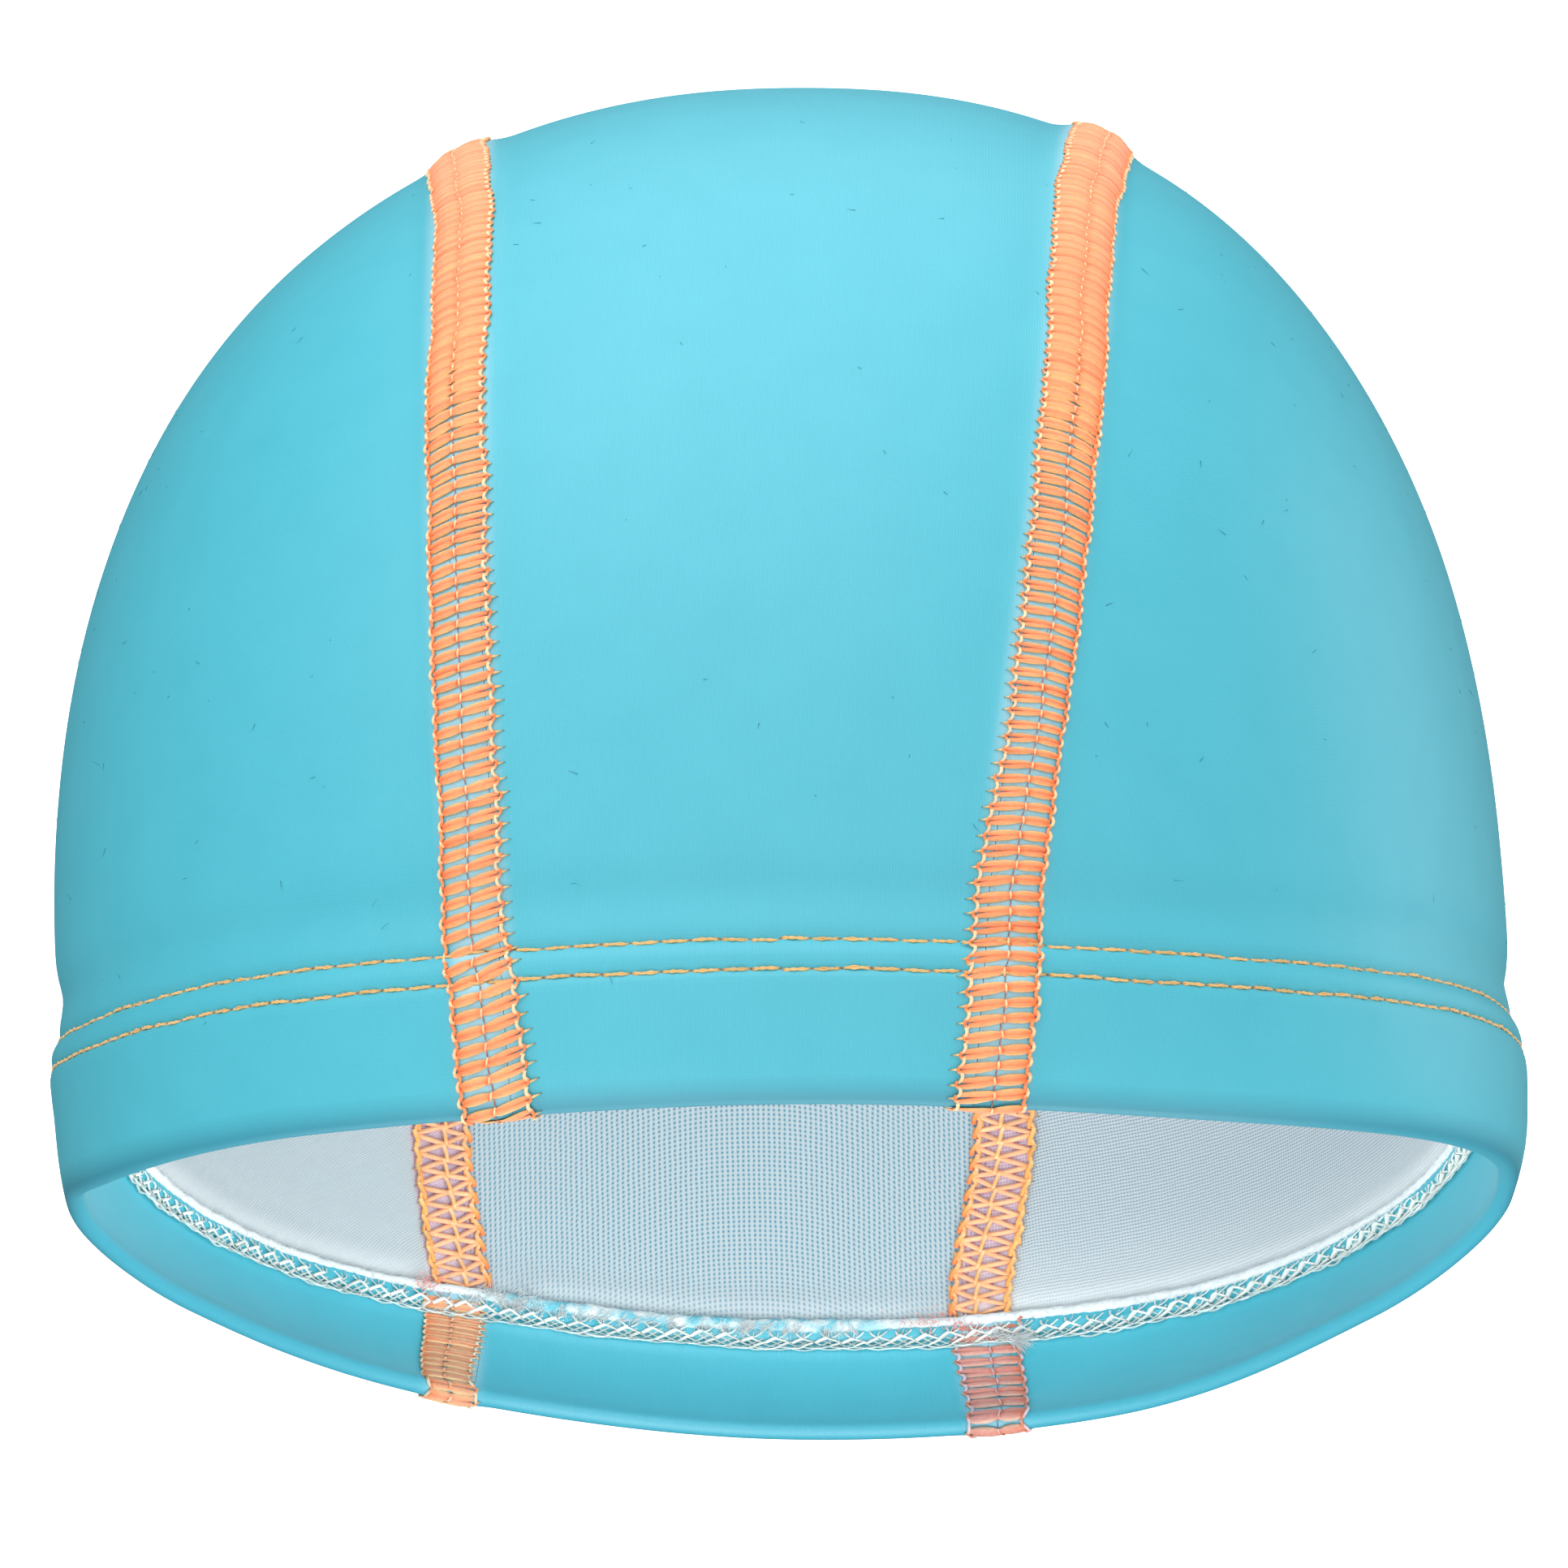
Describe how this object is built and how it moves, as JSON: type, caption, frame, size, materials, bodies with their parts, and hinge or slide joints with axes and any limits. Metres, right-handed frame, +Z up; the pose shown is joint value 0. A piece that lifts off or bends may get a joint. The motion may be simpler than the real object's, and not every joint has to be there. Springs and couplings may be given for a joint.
{
  "type": "swim cap",
  "caption": "Close-fitting swim cap of coated stretch knit, sewn from a middle and two side panels with flat contrast seams and a turned-up, twin-stitched hem, open below.",
  "frame": {"origin": "middle of the head opening, level with the rim at the ears, where the head goes in", "axes": "+Z up, -Y the front over the forehead, +X the wearer's left"},
  "size_m": [0.1672, 0.1973, 0.1586],
  "materials": {
    "coated_knit": "fine vertical knit under a satin turquoise coating, pale grey knit on the head side",
    "cover_thread": "textured matte sewing thread, bright orange",
    "hem_thread": "thin twisted sewing thread, tan orange",
    "looper_thread": "fluffy pale looper thread over the raw edge inside the hem"
  },
  "bodies": {
    "root": {"centre_panel": "coated_knit", "left_side_panel": "coated_knit", "right_side_panel": "coated_knit", "left_seam_cover": "cover_thread", "right_seam_cover": "cover_thread", "left_seam_inside": "cover_thread", "right_seam_inside": "cover_thread"}
  },
  "joints": []
}
